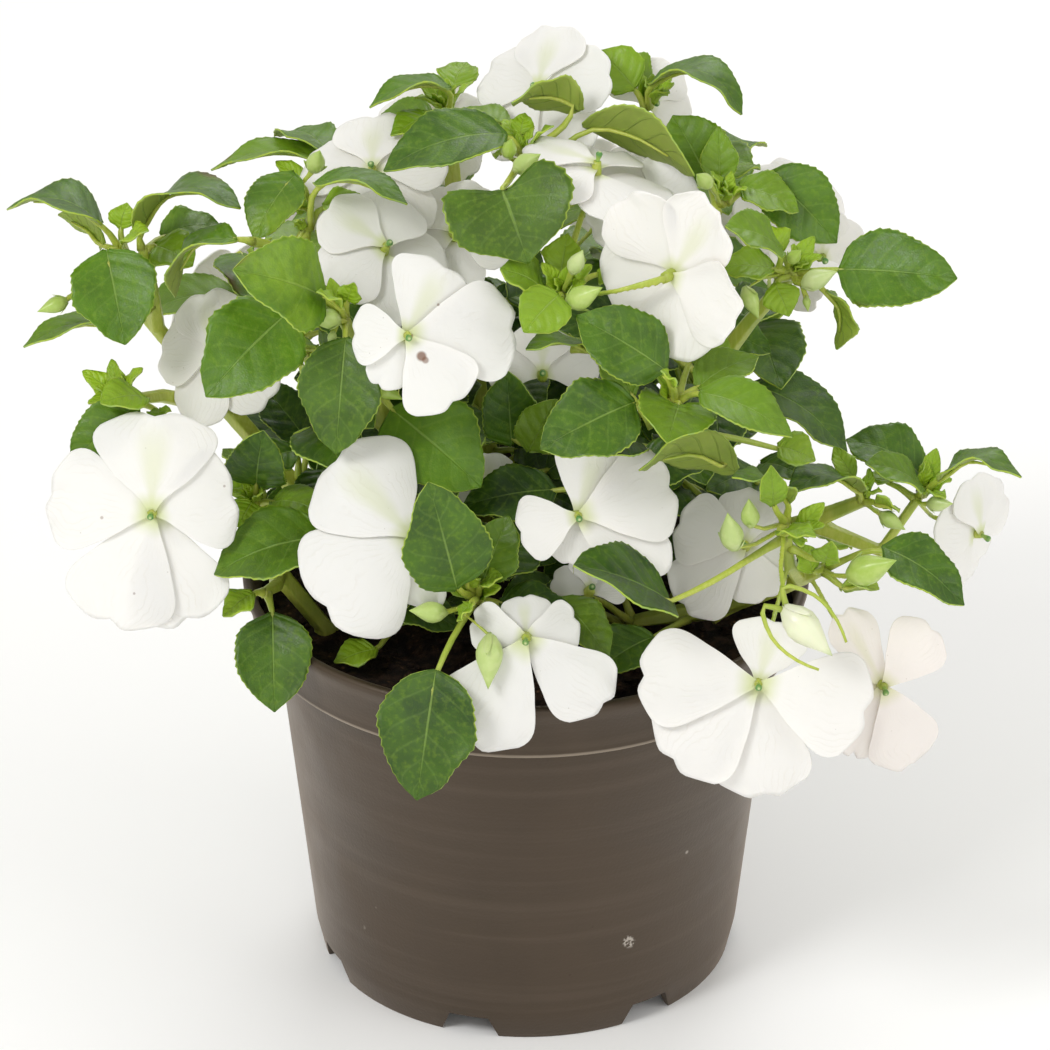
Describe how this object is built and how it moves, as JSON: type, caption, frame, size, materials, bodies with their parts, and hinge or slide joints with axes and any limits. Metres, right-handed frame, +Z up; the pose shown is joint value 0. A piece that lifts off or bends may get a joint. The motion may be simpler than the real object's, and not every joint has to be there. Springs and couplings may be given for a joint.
{
  "type": "busy lizzie in a nursery pot",
  "caption": "Bushy potted busy lizzie: open white blooms, toothed green leaves on juicy stems, in a plain tapered plastic pot of dark soil.",
  "frame": {"origin": "under the middle of the pot, on the surface that it stands on", "axes": "+Z up along the pot's axis, -Y towards the side that the blooms face, +X to the right seen from that side"},
  "size_m": [0.2103, 0.1732, 0.2027],
  "materials": {
    "pot_plastic": "satin brown-grey moulded plastic, fine specks and scuffs",
    "potting_soil": "loose dark peat with brown crumbs, damp and matt",
    "green": "satin waxy leaves with pale veins on translucent yellow-green stems",
    "petal": "soft matt white petals, faintly veined, green at the throat"
  },
  "bodies": {
    "root": {"bloom_far_right": "petal", "bloom_far_side_1": "petal", "bloom_far_side_2": "petal", "bloom_far_side_3": "petal", "bloom_far_side_4": "petal", "bloom_front_foot": "petal", "bloom_front_left": "petal", "bloom_front_middle_left": "petal", "bloom_front_right": "petal", "bloom_inner_left": "petal", "bloom_inner_right": "petal", "bloom_inner_upper": "petal", "bloom_left_upper": "petal", "bloom_middle_right": "petal", "bloom_middle_right_behind": "petal", "bloom_middle_upper": "petal", "bloom_rear_left": "petal", "bloom_rear_top": "petal", "bloom_right_low": "petal", "bloom_right_rear": "petal", "bloom_right_rear_upper": "petal", "bloom_right_upper": "petal", "bloom_top": "petal", "bloom_top_left": "petal", "bloom_top_middle": "petal", "bloom_top_right": "petal", "bloom_upper_left_middle": "petal", "bloom_upper_middle": "petal", "pot": "pot_plastic", "soil": "potting_soil", "stem_far_left": "green", "stem_far_side_left": "green", "stem_far_side_low": "green", "stem_far_side_middle": "green", "stem_far_side_right": "green", "stem_front": "green", "stem_left_of_middle": "green", "stem_low_left": "green", "stem_low_right": "green", "stem_middle": "green", "stem_right": "green", "stem_right_rear": "green", "stem_top": "green", "stem_top_left_back": "green", "stem_top_right": "green", "stem_upper_left": "green", "stem_upper_right": "green"}
  },
  "joints": []
}
